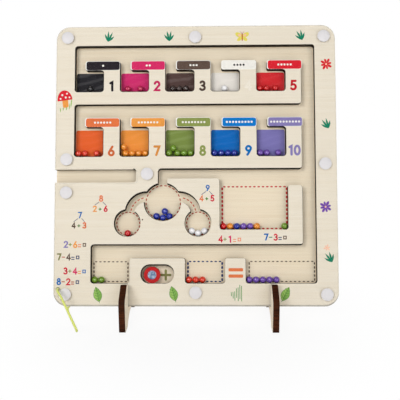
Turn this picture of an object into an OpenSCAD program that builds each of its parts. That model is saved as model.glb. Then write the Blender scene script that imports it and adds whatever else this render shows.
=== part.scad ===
// Magnetic ball maze: a plywood counting board with steel balls under a clear cover, leaning on two slotted feet.
// Millimetres. +Z is up, the board faces -Y, and the origin lies on the table under the middle of the whole.

/* [Board] */
// Width of the board
board_w = 300; // [270:1:340]
// Height of the board along its lean
board_h = 300; // [270:1:340]
// Radius of the board's outer corners
corner_r = 15; // [8:0.5:18]
// Thickness of the back panel
back_t = 3; // [2:0.5:5]
// Thickness of the clear cover
cover_t = 2; // [1.5:0.1:3]
// How far the cover's edge stays inside the board's edge
cover_inset = 0.6; // [0:0.1:2]
// Angle by which the board leans back
lean = 14; // [8:0.5:18]
// Height of the board's lower front edge above the table
edge_height = 20; // [18:0.5:30]

/* [Maze frame and lanes] */
// Frame left of the pockets
frame_left = 20.3; // [19:0.1:22]
// Frame right of the main lane
frame_right = 22.2; // [20:0.1:24]
// Frame above the first lane
frame_top = 21.2; // [20:0.1:23]
// Frame below the trays
frame_bottom = 23.8; // [22.5:0.1:26]
// Width of the main lane down the right side
main_lane = 14.4; // [10:0.1:16]
// Height of the lane over the first row of pockets
lane_1 = 16.5; // [10:0.1:17]
// Height of the lane over the second row of pockets
lane_2 = 14.4; // [10:0.1:16]
// Height of the lane over the bowl and the sum tray
lane_3 = 9.9; // [9:0.1:11]
// Height of the lane over the lower trays
lane_4 = 13.5; // [10:0.1:16]
// Height of the wall under each row of pockets
wall_h = 14.1; // [10:0.1:15]
// Radius of the cut-outs' inner corners
cut_r = 3; // [1:0.1:4]
// Radius of the tips of tabs and posts
tip_r = 2; // [0.5:0.1:3]
// Radius of the free ends of the walls
end_r = 3; // [1:0.1:4]

/* [Colour pockets] */
// Room in a pocket's width beside a full row of balls
pocket_room = 2.4; // [1:0.1:4]
// How much deeper a pocket is in the second row than in the first
pocket_step = 8.2; // [0:0.1:14]
// Height of the tab that covers each pocket
tab_h = 10.2; // [8:0.1:11]
// Width of the way in beside each tab
pocket_entry = 11.3; // [9:0.1:14]
// Width of the last number panel, beside the main lane
end_stem = 17.1; // [14:0.1:19]

/* [Bowl, cups and sum tray] */
// Height of the block that holds the bowl, the cups and the sum tray
block_h = 71; // [68:0.5:90]
// Radius of the bowl
bowl_r = 19.8; // [18:0.1:20.5]
// Drop from the block's top to the bowl's centre
bowl_drop = 25.4; // [24:0.1:27]
// Distance from the sum tray back to the bowl's centre
bowl_back = 60.6; // [58:0.1:63]
// Width of the neck into the bowl
neck_w = 9.7; // [9:0.1:12]
// Radius of each cup
cup_r = 14; // [13:0.1:14.5]
// Distance from the bowl's centre out to a cup's centre
cup_out = 37.5; // [36.5:0.1:38.5]
// Drop from the bowl's centre to a cup's centre
cup_drop = 22.4; // [21.5:0.1:23.5]
// Width of the curved arms between bowl and cups
arm_w = 10; // [9:0.1:11]
// Radius of an arm along its middle
arm_r = 18; // [17:0.1:19]
// Distance from the bowl's centre out to an arm's centre
arm_out = 17.2; // [16.5:0.1:18]
// Drop from the bowl's centre to an arm's centre
arm_drop = 12.4; // [11.5:0.1:13]
// Width of the sum tray
sum_w = 72.4; // [66:0.1:74]
// Width of the post right of the sum tray
post_w = 15.2; // [12:0.1:17]
// Drop from the block's top to the post's top
post_drop = 7.4; // [4:0.1:12]
// Height of the block under the sum tray
sum_base = 16.5; // [12:0.1:20]

/* [Lower trays and selector] */
// Distance from the board's left edge to the first tray
hall_left = 39.2; // [36:0.1:42]
// Width of the first tray
first_w = 41.2; // [36:0.1:44]
// Width of the block that holds the selector
selector_block = 58.8; // [54:0.1:62]
// Width of the second tray
second_w = 42; // [38:0.1:45]
// Width of the block with the equals sign
equals_block = 21.8; // [16:0.1:26]
// Depth of the trays
tray_h = 26.5; // [24:0.1:28]
// Length of the selector's slot
selector_slot = 35.2; // [32:0.1:40]
// Diameter of the selector disc
disc_d = 17.2; // [15:0.1:18]
// Thickness of the selector disc
disc_t = 6; // [5:0.1:7]
// Room above the selector disc in its slot
disc_room = 1.4; // [1:0.1:2]
// Distance from the slot's left end to the disc's centre at rest
disc_at = 11.8; // [10.5:0.1:20]
// Diameter of the steel core in the disc
core_d = 9.2; // [6:0.1:11]
// Width of the core's raised rim
core_rim = 1.1; // [0.6:0.1:2]
// Depth of the core's dished face
core_dish = 0.7; // [0.3:0.1:1.5]
// Play between the core and the disc
core_play = 0.1; // [0.05:0.05:0.2]

/* [Balls] */
// Diameter of a ball
ball_d = 7; // [6:0.1:7.7]
// Gap between a ball and the cover
ball_room = 0.7; // [0.3:0.1:1.5]
// Gap between balls that lie together
ball_gap = 0.1; // [0.05:0.05:0.2]
// Gap between a loose piece and what it rests on
seat_gap = 0.3; // [0.1:0.05:0.4]

/* [Pen slot] */
// Width of the wood between the pen slot and the neck of the bowl
pen_slot_web = 23.5; // [18:0.1:40]
// Height of the pen slot
pen_slot_h = 13.9; // [12:0.1:15]
// How far the cover stays back from the pen slot
notch_edge = 1.2; // [0:0.1:2]

/* [Rivets] */
// Distance from the board's edges to the corner rivets
rivet_in = 12.5; // [11:0.1:14]
// Distance from the board's lower edge to the rivet in its middle
rivet_low = 14.5; // [11:0.1:16]
// Distance from the pen slot to the rivets above and below it
rivet_by_slot = 10.8; // [9:0.1:14]
// Diameter of a rivet's head
rivet_head_d = 13; // [9:0.1:14]
// Height of a rivet's head
rivet_head_h = 2.2; // [1.5:0.1:3]
// Radius of the dome on a rivet's head
rivet_dome_r = 14; // [11:0.5:30]
// Diameter of a rivet's sleeve
rivet_sleeve_d = 6; // [5:0.1:7]
// Diameter of a rivet's pin
rivet_pin_d = 3.6; // [2.5:0.1:4]
// Play of the sleeve in its hole and of the pin in the sleeve
rivet_play = 0.2; // [0.1:0.05:0.4]
// Solid end of the sleeve under its head
rivet_end = 1.5; // [1:0.1:3]

/* [Feet] */
// Place of the left foot along the board
left_foot_x = -74; // [-100:1:-50]
// Place of the right foot along the board
right_foot_x = 82; // [50:1:100]
// Thickness of a foot
foot_t = 6.5; // [4:0.5:8]
// Gap between the board and the foot's slot
slot_gap = 0.15; // [0.1:0.05:0.5]
// How far a foot reaches in front of the board's lower edge
toe_reach = 22.5; // [18:0.5:28]
// Height of the foot's straight front
toe_h = 32; // [24:0.5:34]
// Height of the lip in front of the board
lip_h = 23; // [18:0.5:23]
// Thickness of the lip at its top
lip_t = 9.5; // [6:0.5:12]
// Height of the rest behind the board
rest_h = 48; // [36:1:60]
// Thickness of the rest at its top
rest_t = 9; // [7:0.5:12]
// How far a foot reaches behind the board's lower front edge
heel_reach = 66; // [60:1:80]
// Height of the heel
heel_h = 14; // [12:0.5:20]
// Length of the foot's front sole
toe_sole = 16; // [12:0.5:20]
// Length of the foot's rear sole
heel_sole = 14; // [10:0.5:20]
// Height of the arch under a foot
arch_h = 11; // [7:0.5:12]
// Radius at the front of a foot
toe_r = 10; // [4:0.5:12]
// Radius at the heel of a foot
heel_r = 8; // [4:0.5:10]

/* [Pen] */
// Length of the pen
pen_l = 84; // [70:1:100]
// Diameter of the pen
pen_d = 10; // [8:0.1:11]
// Distance from the left end of the board to the pen's tail
pen_at = 52; // [52:1:60]
// Distance from the heels back to the pen
pen_behind = 6; // [3:0.5:8]
// Length of the pen's tip
tip_l = 14; // [10:0.5:20]
// Diameter of the pen's tip at its end
tip_end_d = 7; // [6:0.1:8]
// Length of the pen's tail cap
cap_l = 8; // [5:0.5:12]
// Diameter of the tail cap at its end
cap_end_d = 5; // [4:0.1:7]
// Diameter of the plugs that the tip and the cap have in the barrel
plug_d = 6.4; // [6:0.1:7]
// Length of those plugs
plug_l = 6; // [4:0.5:10]
// Diameter of the magnet in the tip
magnet_d = 4; // [3:0.1:5]
// Length of the magnet
magnet_l = 10; // [6:0.5:12]
// Play of the plugs and of the magnet
pen_play = 0.1; // [0.05:0.05:0.2]

/* [Tether] */
// Diameter of the cord
cord_d = 2.5; // [2:0.1:2.8]
// Distance from the board's left edge to the tether's hole
tether_in = 5; // [4:0.1:5.5]
// Distance from the board's lower edge to the tether's hole
tether_up = 18.5; // [18:0.5:24]
// Room between the cord and its hole
tether_room = 0.35; // [0.3:0.05:0.6]
// Diameter of the knot behind the board
knot_d = 5.2; // [4.5:0.1:5.4]
// Depth of the knot behind the board
knot_depth = 4; // [3.5:0.1:4.5]
// Radius of the coil's outer turn
coil_r = 15; // [14:0.1:16]
// Distance from one turn of the coil to the next
coil_pitch = 3; // [2.95:0.05:3.4]
// Height from the coil's lower layer to its upper one
coil_layer = 2.95; // [2.95:0.05:3.5]
// Thickness of the tie's band
tie_t = 0.6; // [0.4:0.1:1]
// Width of the tie's band
tie_w = 3; // [2:0.5:5]

/* [Hidden] */
$fn = 64;
// Straight steps in a rounded corner of a cut-out
corner_steps = 5;
// How far a cut runs past the faces that it cuts
past = 1;

// Colours of the pieces
ply = "#e9dcc2";
ply_back = "#e3d2b2";
white_plastic = "#f3f2f4";
burnt_ply = "#cfae80";
lime = "#d9e24a";
steel = "#a9b7c6";

// The stack of sheets, of which the maze panel is as thick as the balls need
maze_t = seat_gap + ball_d + ball_room;
board_t = back_t + maze_t + cover_t;
// Middle of the depth from the toes to the board's top, over which the origin lies
back_reach = board_h * sin(lean) + board_t * cos(lean);
mid_depth = (back_reach - toe_reach) / 2;

// Pockets: four balls wide, and as deep as the board's height leaves room for
pockets = 5;
pocket_balls = 4;
ball_pitch = ball_d + ball_gap;
pocket_w = pocket_balls * ball_pitch + pocket_room;
y_tray = frame_bottom + tray_h;
y_hall = y_tray + lane_4;
y_block = y_hall + block_h;
y_lane_3 = y_block + lane_3;
rows_h = board_h - frame_top - lane_1 - lane_2 - y_lane_3;
pocket_1 = (rows_h - 2 * (tab_h + wall_h) - pocket_step) / 2;
pocket_2 = pocket_1 + pocket_step;

// Other heights in the maze, measured up the board from its lower edge
y_ceiling = board_h - frame_top;
y_tab_1 = y_ceiling - lane_1;
y_shelf_1 = y_tab_1 - tab_h;
y_floor_1 = y_shelf_1 - pocket_1;
y_ceiling_2 = y_floor_1 - wall_h;
y_tab_2 = y_ceiling_2 - lane_2;
y_shelf_2 = y_tab_2 - tab_h;
y_floor_2 = y_shelf_2 - pocket_2;
y_sum = y_hall + sum_base;
y_post = y_block - post_drop;
y_pen = y_lane_3 - pen_slot_h;

// Places across the maze, measured from the board's middle
x_left = frame_left - board_w / 2;
x_right = board_w / 2 - frame_right;
x_wall = x_right - main_lane;
x_post = x_wall - post_w;
x_sum = x_post - sum_w;
x_first = hall_left - board_w / 2;
x_selector = x_first + first_w;
x_second = x_selector + selector_block;
x_equals = x_second + second_w;
x_total = x_equals + equals_block;
pocket_pitch = (x_wall - end_stem - pocket_w - x_left) / (pockets - 1);
bowl_x = x_sum - bowl_back;
x_pen = bowl_x - neck_w / 2 - pen_slot_web;
bowl_y = y_block - bowl_drop;
cup_y = bowl_y - cup_drop;

// The selector's slot and the disc's place in it
slot_h = disc_d + seat_gap + disc_room;
slot_x = (x_selector + x_second) / 2;
slot_y = frame_bottom + slot_h / 2;
disc_x = slot_x - selector_slot / 2 + disc_at;
disc_y = frame_bottom + seat_gap + disc_d / 2;

// Where balls lie
ball_rest = seat_gap + ball_d / 2;
ball_z = back_t + ball_rest;
// Radii on which balls lie in the bowl and in the cups, and the angle between neighbours there
bowl_ring = bowl_r - ball_rest;
bowl_step = 2 * asin(ball_pitch / 2 / bowl_ring);
cup_ring = cup_r - ball_rest;
cup_step = 2 * asin(ball_pitch / 2 / cup_ring);

tether_x = tether_in - board_w / 2;
rivets = concat(
    [for (x = [-1, 1], y = [rivet_in, board_h - rivet_in]) [x * (board_w / 2 - rivet_in), y]],
    [[0, rivet_low], [0, board_h - rivet_in], [board_w / 2 - rivet_in, board_h / 2]],
    [for (y = [y_lane_3 + rivet_by_slot, y_pen - rivet_by_slot]) [rivet_in - board_w / 2, y]],
    [[(x_pen + bowl_x - neck_w / 2) / 2, y_lane_3 - lane_3 / 2]]
);

// The cord's free run, measured from the board's left edge and its lower front edge: out of the board's front, down
// to the table and back under the board to the coil
tether_route = [
    [5.5, 0, 38.5], [7, -4, 38.5], [9.5, -7.5, 36.5], [12.5, -11, 33.5], [15.5, -14.5, 29.5], [18.5, -17.5, 25.5],
    [21.5, -20.5, 21], [24.5, -23.5, 16.5], [27, -25.5, 12.5], [29, -26.5, 8.5], [30, -25, 4.5], [29.5, -22, 2],
    [28, -17.5, 1.3], [26, -12, 1.3], [23.5, -6.5, 1.3], [21, -0.5, 1.3], [19, 5, 1.3], [16.5, 10.5, 1.3],
    [14.5, 16, 1.3], [12, 21.5, 1.3], [10, 27, 1.3], [8, 32.5, 1.3], [6, 38.5, 1.3], [4.5, 44.5, 1.3],
    [4.5, 50.5, 1.5], [5.5, 55, 1.8], [7, 58.5, 2.1]
];
// The last stretch, from the coil to the pen
lead_route = [[33, 81, 5.1], [38, 79.8, 5], [43.5, 78, 5]];
coil_x = 23;
coil_y = 66.5;
coil_z = tie_t + seat_gap + cord_d / 2;
coil_turns = 3.25;
coil_steps = 24;
tube_sides = 8;
coil_sides = 6;
pen_y = heel_reach + pen_behind + pen_d / 2;

function unit(v) = v / norm(v);
function half_turn(a) = a > 180 ? a - 360 : a < -180 ? a + 360 : a;

// One corner [x, y, radius] of an outline, between its neighbours p and s, as an arc no longer than they allow
function corner(p, q, s) =
    let (at = [q.x, q.y], a = [p.x, p.y] - at, b = [s.x, s.y] - at)
    let (half = acos(unit(a) * unit(b)) / 2)
    let (r = min(q.z, tan(half) * min(norm(a), norm(b)) / 2))
    let (centre = at + unit(unit(a) + unit(b)) * r / sin(half))
    let (first = at + unit(a) * r / tan(half) - centre, last = at + unit(b) * r / tan(half) - centre)
    let (start = atan2(first.y, first.x), sweep = half_turn(atan2(last.y, last.x) - start))
    q.z == 0 ? [at] : [
        for (k = [0:corner_steps])
        centre + r * [cos(start + sweep * k / corner_steps), sin(start + sweep * k / corner_steps)]
    ];

// An outline of [x, y, radius] corners with every corner rounded
function rounded(path) = let (n = len(path)) [
    for (i = [0:n - 1]) each corner(path[(i + n - 1) % n], path[i], path[(i + 1) % n])
];

function pocket_x(i) = x_left + i * pocket_pitch;

// A row of pockets, walked from the wall's free end to the left frame and up to the lane's ceiling
function row_path(tab, shelf, floor, ceiling) = [
    [x_wall, tab, tip_r],
    for (i = [pockets - 1:-1:0]) each [
        [pocket_x(i) + pocket_entry, tab, tip_r],
        [pocket_x(i) + pocket_entry, shelf, tip_r],
        [pocket_x(i) + pocket_w, shelf, cut_r],
        [pocket_x(i) + pocket_w, floor, cut_r],
        [pocket_x(i), floor, cut_r],
        i > 0 ? [pocket_x(i), tab, tip_r] : [x_left, ceiling, cut_r]
    ]
];

// The whole maze as one cut-out, walked down the right side and back up through the trays, lanes and pockets
maze_path = concat(
    [[x_right, y_ceiling, cut_r], [x_right, frame_bottom, cut_r]],
    [[x_total, frame_bottom, cut_r], [x_total, y_tray, tip_r]],
    [[x_equals, y_tray, tip_r], [x_equals, frame_bottom, cut_r]],
    [[x_second, frame_bottom, cut_r], [x_second, y_tray, tip_r]],
    [[x_selector, y_tray, tip_r], [x_selector, frame_bottom, cut_r]],
    [[x_first, frame_bottom, cut_r], [x_first, y_hall, cut_r]],
    [[x_wall, y_hall, end_r], [x_wall, y_post, end_r]],
    [[x_post, y_post, tip_r], [x_post, y_sum, cut_r]],
    [[x_sum, y_sum, cut_r], [x_sum, y_block, end_r]],
    [[bowl_x + neck_w / 2, y_block, tip_r], [bowl_x + neck_w / 2, bowl_y, 0]],
    [[bowl_x - neck_w / 2, bowl_y, 0], [bowl_x - neck_w / 2, y_lane_3, cut_r]],
    [[x_wall, y_lane_3, end_r]],
    row_path(y_tab_2, y_shelf_2, y_floor_2, y_ceiling_2),
    [[x_wall, y_ceiling_2, end_r]],
    row_path(y_tab_1, y_shelf_1, y_floor_1, y_ceiling)
);

// A place given up the board and out from its front face, as depth and height in the foot's plane
function on_board(up, out) =
    [up * sin(lean) - out * cos(lean), edge_height + up * cos(lean) + out * sin(lean)];
function foot_corner(up, out, r) = concat(on_board(up, out), [r]);

// A foot from the side: toe, lip, slot for the board, rest and heel
foot_path = [
    [-toe_reach, 0, tip_r],
    [-toe_reach, toe_h, toe_r],
    foot_corner(lip_h, slot_gap + lip_t, tip_r),
    foot_corner(lip_h, slot_gap, tip_r / 2),
    foot_corner(-slot_gap, slot_gap, 0),
    foot_corner(-slot_gap, -board_t - slot_gap, 0),
    foot_corner(rest_h, -board_t - slot_gap, tip_r / 2),
    foot_corner(rest_h, -board_t - slot_gap - rest_t, cut_r),
    [heel_reach, heel_h, heel_r],
    [heel_reach, 0, tip_r]
];
arch_start = toe_sole - toe_reach;
arch_end = heel_reach - heel_sole;
arch_r = (pow((arch_end - arch_start) / 2, 2) + pow(arch_h, 2)) / (2 * arch_h);

// Rows of balls, from a first place to the right or to the left
function balls_right(x, y, n) = [for (k = [0:n - 1]) [x + k * ball_pitch, y]];
function balls_left(x, y, n) = [for (k = [0:n - 1]) [x - k * ball_pitch, y]];
// A ball's place on a pocket's floor, in from the pocket's left wall
function in_row_1(i, x) = [[pocket_x(i) + x, y_floor_1 + ball_rest]];
function in_row_2(i, x) = [[pocket_x(i) + x, y_floor_2 + ball_rest]];
// The place of a ball that lies on two others, p to the left of q
function ball_on(p, q) =
    let (d = q - p, rise = sqrt(pow(ball_pitch, 2) - pow(norm(d) / 2, 2)))
    (p + q) / 2 + rise * [-d.y, d.x] / norm(d);
// The place of a ball that leans on a wall at x and on the ball at p
function ball_against(x, p) = [x, p.y + sqrt(pow(ball_pitch, 2) - pow(p.x - x, 2))];
// Places round the bottom of a round pocket
function in_round(x, y, ring, angle) = [x + ring * sin(angle), y - ring * cos(angle)];

yellow_row = balls_left(pocket_x(1) + pocket_w - ball_rest, y_floor_2 + ball_rest, 4);
yellow_top = ball_against(pocket_x(1) + ball_rest, yellow_row[3]);
green_row = balls_left(pocket_x(2) + pocket_w - ball_rest, y_floor_2 + ball_rest, 3);
green_first = [pocket_x(2) + ball_rest, y_floor_2 + ball_rest];
bowl_row = [for (k = [-1:1]) in_round(bowl_x, bowl_y, bowl_ring, k * bowl_step)];
cup_row = [for (k = [-1:1]) in_round(bowl_x + cup_out, cup_y, cup_ring, k * cup_step)];
sum_row = balls_right(x_sum + ball_rest, y_sum + ball_rest, 6);

// Tubes along a list of points: the directions along it, and a normal that is carried from ring to ring
function along(p) = let (n = len(p)) [for (i = [0:n - 1]) unit(p[min(i + 1, n - 1)] - p[max(i - 1, 0)])];
function square_to(n, t) = unit(n - t * (n * t));
function carried(t, first) = [
    for (i = 0, n = square_to(first, t[0]); i < len(t); i = i + 1, n = i < len(t) ? square_to(n, t[i]) : n) n
];

// A place on the board, in from its left edge, in the frame of the cord's route
function from_edge(x, y, z) = concat([x], on_board(y, z - board_t));

function coil_point(turn) =
    let (middle = coil_turns / 2)
    let (r = coil_r - coil_pitch * (middle - abs(turn - middle)))
    let (climb = min(1, max(0, (turn - middle) * 2 + 0.5)))
    [coil_x - r * cos(turn * 360), coil_y + r * sin(turn * 360), coil_z + climb * coil_layer];

coil_path = concat(
    [coil_point(0) - [0, cord_d, 0]],
    [for (k = [0:coil_turns * coil_steps]) coil_point(k / coil_steps)],
    [coil_point(coil_turns) + [cord_d, 0, 0]]
);
cord_path = concat(
    [for (z = [0, board_t / 2, board_t]) from_edge(tether_in, tether_up, z)],
    tether_route,
    [coil_path[0] - [0, cord_d, 0], coil_path[0]]
);
coil_exit = coil_path[len(coil_path) - 1];
lead_path = concat(
    [coil_exit, coil_exit + [cord_d, 0, 0]],
    lead_route,
    [[pen_at - cord_d, pen_y, pen_d / 2], [pen_at, pen_y, pen_d / 2]]
);

function steps_of(p) = [for (i = [1:len(p) - 1]) norm(p[i] - p[i - 1])];
function sum_of(v) = v * [for (x = v) 1];
// Least gap between turns, over points more than half a turn apart
coil_gap = min([
    for (i = [0:len(coil_path) - 1], j = [i + coil_steps / 2:1:len(coil_path) - 1])
    norm(coil_path[i] - coil_path[j])
]) - cord_d;
echo(least_gap_in_coil = coil_gap);
echo(cord_length = sum_of(concat(steps_of(cord_path), steps_of(coil_path), steps_of(lead_path))));

module in_place() translate([0, -mid_depth, 0]) children();

// The frame of the cord's route
module by_left_edge() in_place() translate([-board_w / 2, 0, 0]) children();

// The board's own frame: x across, y up its face, z out of its front, with the back panel's rear face at zero
module on_stand() in_place() translate([0, 0, edge_height]) rotate([90 - lean, 0, 0]) translate([0, 0, -board_t])
    children();

// A plate with round corners, standing on y = 0
module plate(w, h, r, t) linear_extrude(t) {
    translate([-w / 2 + r, 0]) square([w - 2 * r, h]);
    translate([-w / 2, r]) square([w, h - 2 * r]);
    for (x = [r - w / 2, w / 2 - r], y = [r, h - r]) translate([x, y]) circle(r);
}

module rivet_holes() for (p = rivets)
    translate([p.x, p.y, -past]) cylinder(d = rivet_sleeve_d + 2 * rivet_play, h = board_t + 2 * past);

module tether_hole() translate([tether_x, tether_up, -past])
    cylinder(d = cord_d + 2 * tether_room, h = board_t + 2 * past);

module through(t) translate([0, 0, -past]) linear_extrude(t + 2 * past) children();

// The pen slot's outline, open past the board's left edge
module pen_slot(edge) polygon(rounded([
    [-board_w / 2 - past, y_pen - edge, 0],
    [x_pen + edge, y_pen - edge, cut_r],
    [x_pen + edge, y_lane_3 + edge, cut_r],
    [-board_w / 2 - past, y_lane_3 + edge, 0]
]));

// One arm from the bowl to the left cup: a quarter ring and its straight end in the bowl
module arm() translate([-arm_out, -arm_drop, -past]) {
    rotate(90) rotate_extrude(angle = 90) translate([arm_r - arm_w / 2, 0]) square([arm_w, maze_t + 2 * past]);
    translate([0, arm_r - arm_w / 2, 0]) cube([arm_out, arm_w, maze_t + 2 * past]);
}

module bowl_and_cups() translate([bowl_x, bowl_y, 0]) {
    through(maze_t) circle(bowl_r);
    for (side = [0, 1]) mirror([side, 0, 0]) {
        translate([-cup_out, -cup_drop, 0]) through(maze_t) circle(cup_r);
        arm();
    }
}

module selector_cut() through(maze_t) {
    translate([slot_x, slot_y]) square([selector_slot - slot_h, slot_h], center = true);
    for (side = [-1, 1]) translate([slot_x + side * (selector_slot - slot_h) / 2, slot_y]) circle(d = slot_h);
}

module back_panel() color(ply_back) on_stand() difference() {
    plate(board_w, board_h, corner_r, back_t);
    rivet_holes();
    tether_hole();
}

module maze_panel() color(ply) on_stand() translate([0, 0, back_t]) difference() {
    plate(board_w, board_h, corner_r, maze_t);
    through(maze_t) polygon(rounded(maze_path));
    bowl_and_cups();
    selector_cut();
    through(maze_t) pen_slot(0);
    rivet_holes();
    tether_hole();
}

module clear_cover() color([0.9, 0.95, 1, 0.3]) on_stand() translate([0, 0, back_t + maze_t]) difference() {
    translate([0, cover_inset, 0])
        plate(board_w - 2 * cover_inset, board_h - 2 * cover_inset, corner_r - cover_inset, cover_t);
    through(cover_t) pen_slot(notch_edge);
    rivet_holes();
    tether_hole();
}

// A low domed head, standing on z = 0
module rivet_head() intersection() {
    cylinder(d = rivet_head_d, h = rivet_head_h);
    translate([0, 0, rivet_head_h - rivet_dome_r]) sphere(rivet_dome_r);
}

module rivet_sockets() color(white_plastic) on_stand() for (p = rivets) translate([p.x, p.y, 0]) {
    translate([0, 0, board_t]) rivet_head();
    difference() {
        cylinder(d = rivet_sleeve_d, h = board_t);
        translate([0, 0, -past]) cylinder(d = rivet_pin_d + 2 * rivet_play, h = board_t - rivet_end + past);
    }
}

module rivet_pins() color(white_plastic) on_stand() for (p = rivets) translate([p.x, p.y, 0]) {
    mirror([0, 0, 1]) rivet_head();
    cylinder(d = rivet_pin_d, h = board_t - rivet_end - rivet_play);
}

module foot(x) color(burnt_ply) in_place() translate([x, 0, 0]) rotate([90, 0, 90])
    linear_extrude(foot_t, center = true) difference() {
        polygon(rounded(foot_path));
        translate([(arch_start + arch_end) / 2, arch_h - arch_r]) circle(arch_r);
    }

module left_foot() foot(left_foot_x);
module right_foot() foot(right_foot_x);

module selector_disc() color("#d3232b") on_stand() translate([disc_x, disc_y, back_t + seat_gap]) difference() {
    cylinder(d = disc_d, h = disc_t);
    translate([0, 0, -past]) cylinder(d = core_d + 2 * core_play, h = disc_t + 2 * past);
}

module selector_core() color(steel) on_stand() translate([disc_x, disc_y, back_t + seat_gap]) difference() {
    cylinder(d = core_d, h = disc_t);
    translate([0, 0, disc_t - core_dish]) cylinder(d = core_d - 2 * core_rim, h = core_dish + past);
}

// The pen's own frame: z runs along the pen from the end of its tail
module along_pen() by_left_edge() translate([pen_at, pen_y, pen_d / 2]) rotate([0, 90, 0]) children();

module pen_barrel() color("#e2c48e") along_pen() difference() {
    translate([0, 0, cap_l]) cylinder(d = pen_d, h = pen_l - cap_l - tip_l);
    for (z = [cap_l - past, pen_l - tip_l - plug_l - pen_play])
        translate([0, 0, z]) cylinder(d = plug_d + 2 * pen_play, h = plug_l + pen_play + past);
}

module pen_tip() color("#d3232b") along_pen() translate([0, 0, pen_l - tip_l]) difference() {
    union() {
        cylinder(d1 = pen_d, d2 = tip_end_d, h = tip_l);
        translate([0, 0, -plug_l]) cylinder(d = plug_d, h = plug_l + past);
    }
    translate([0, 0, -plug_l - past]) cylinder(d = magnet_d + 2 * pen_play, h = magnet_l + past + pen_play);
}

module pen_magnet() color(steel) along_pen() translate([0, 0, pen_l - tip_l - plug_l])
    cylinder(d = magnet_d, h = magnet_l);

module pen_tail_cap() color("#d3232b") along_pen() {
    cylinder(d1 = cap_end_d, d2 = pen_d, h = cap_l);
    translate([0, 0, cap_l - past]) cylinder(d = plug_d, h = plug_l + past);
}

// A tube of a given number of sides along a list of points, with flat ends
module tube(points, sides, first) {
    t = along(points);
    n = carried(t, first);
    rings = len(points);
    places = [
        for (i = [0:rings - 1], k = [0:sides - 1])
        points[i] + cord_d / 2 * (cos(k * 360 / sides) * n[i] + sin(k * 360 / sides) * cross(t[i], n[i]))
    ];
    sides_of = [
        for (i = [0:rings - 2], k = [0:sides - 1])
        let (a = i * sides + k, b = i * sides + (k + 1) % sides)
        each [[a, a + sides, b], [b, a + sides, b + sides]]
    ];
    ends = [
        for (k = [1:sides - 2]) each
        [[0, k, k + 1], [(rings - 1) * sides, (rings - 1) * sides + k + 1, (rings - 1) * sides + k]]
    ];
    polyhedron(places, concat(sides_of, ends));
}

module tether_knot() color(lime) on_stand() translate([tether_x, tether_up, 0]) intersection() {
    translate([0, 0, knot_d / 2 - knot_depth]) sphere(d = knot_d);
    translate([-knot_d, -knot_d, -2 * knot_d]) cube(2 * knot_d);
}

module tether_cord() color(lime) by_left_edge() tube(cord_path, tube_sides, [1, 0, 0]);
module tether_coil() color(lime) by_left_edge() tube(coil_path, coil_sides, [0, 0, 1]);
module tether_lead() color(lime) by_left_edge() tube(lead_path, tube_sides, [0, 0, 1]);

// A flat band round all the turns on the coil's right side
module tether_tie() color(white_plastic) {
    inner = coil_r - coil_pitch * coil_turns / 2 - cord_d / 2 - seat_gap;
    outer = coil_r + cord_d / 2 + seat_gap;
    top = coil_z + coil_layer + cord_d / 2 + seat_gap;
    by_left_edge() translate([coil_x, coil_y - tie_w / 2, 0]) difference() {
        translate([inner - tie_t, 0, 0]) cube([outer - inner + 2 * tie_t, tie_w, top + tie_t]);
        translate([inner, -past, tie_t]) cube([outer - inner, tie_w + 2 * past, top - tie_t]);
    }
}

module balls(shade, places) color(shade) on_stand() for (p = places)
    translate([p.x, p.y, ball_z]) sphere(d = ball_d);

module black_ball() balls("#26232a", in_row_1(0, 16));
module pink_ball_left() balls("#d42a7d", in_row_1(1, 7.8));
module pink_ball_right() balls("#d42a7d", in_row_1(1, 21.4));
module brown_balls() balls("#4a3a38", balls_right(pocket_x(2) + 7.6, y_floor_1 + ball_rest, 3));
module white_ball() balls("#f4f4f4", in_row_1(3, 14.6));
module red_balls() balls("#cf2030", balls_right(pocket_x(4) + ball_rest, y_floor_1 + ball_rest, 2));
module red_ball() balls("#cf2030", in_row_1(4, 20.6));
module orange_balls() balls("#e2582e", balls_right(pocket_x(0) + ball_rest, y_floor_2 + ball_rest, 2));
module orange_ball() balls("#e2582e", in_row_2(0, 23.4));
module yellow_balls() balls("#ee9226", concat(yellow_row, [yellow_top]));
module green_balls() balls("#6f9a2e", concat([green_first], green_row, [ball_on(green_first, green_row[2])]));
module blue_balls() balls("#2146a8", balls_right(pocket_x(3) + ball_rest, y_floor_2 + ball_rest, 4));
module purple_balls() balls("#6a4fae", balls_right(pocket_x(4) + ball_rest, y_floor_2 + ball_rest, 2));
module purple_ball() balls("#6a4fae", in_row_2(4, 23));
module bowl_blue_balls() balls("#2146a8", concat(bowl_row, [ball_on(bowl_row[1], bowl_row[2])]));
module cup_red_ball() balls("#cf2030", [in_round(bowl_x - cup_out, cup_y, cup_ring, 0)]);
module cup_white_balls() balls("#f4f4f4", cup_row);
module sum_red_ball() balls("#cf2030", [sum_row[0]]);
module sum_yellow_ball() balls("#ee9226", [sum_row[1]]);
module sum_blue_ball() balls("#2146a8", [sum_row[2]]);
module sum_purple_balls() balls("#6a4fae", [sum_row[3], sum_row[4]]);
module sum_last_yellow_ball() balls("#ee9226", [sum_row[5]]);
module sum_green_ball() balls("#6f9a2e", [[x_post - ball_rest, y_sum + ball_rest]]);
module tray_green_balls() balls("#6f9a2e", balls_right(x_first + ball_rest, frame_bottom + ball_rest, 2));
module tray_orange_balls() balls("#e2582e", balls_right(x_second + ball_rest, frame_bottom + ball_rest, 3));
module tray_purple_balls() balls("#6a4fae", balls_right(x_total + ball_rest, frame_bottom + ball_rest, 5));

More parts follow.
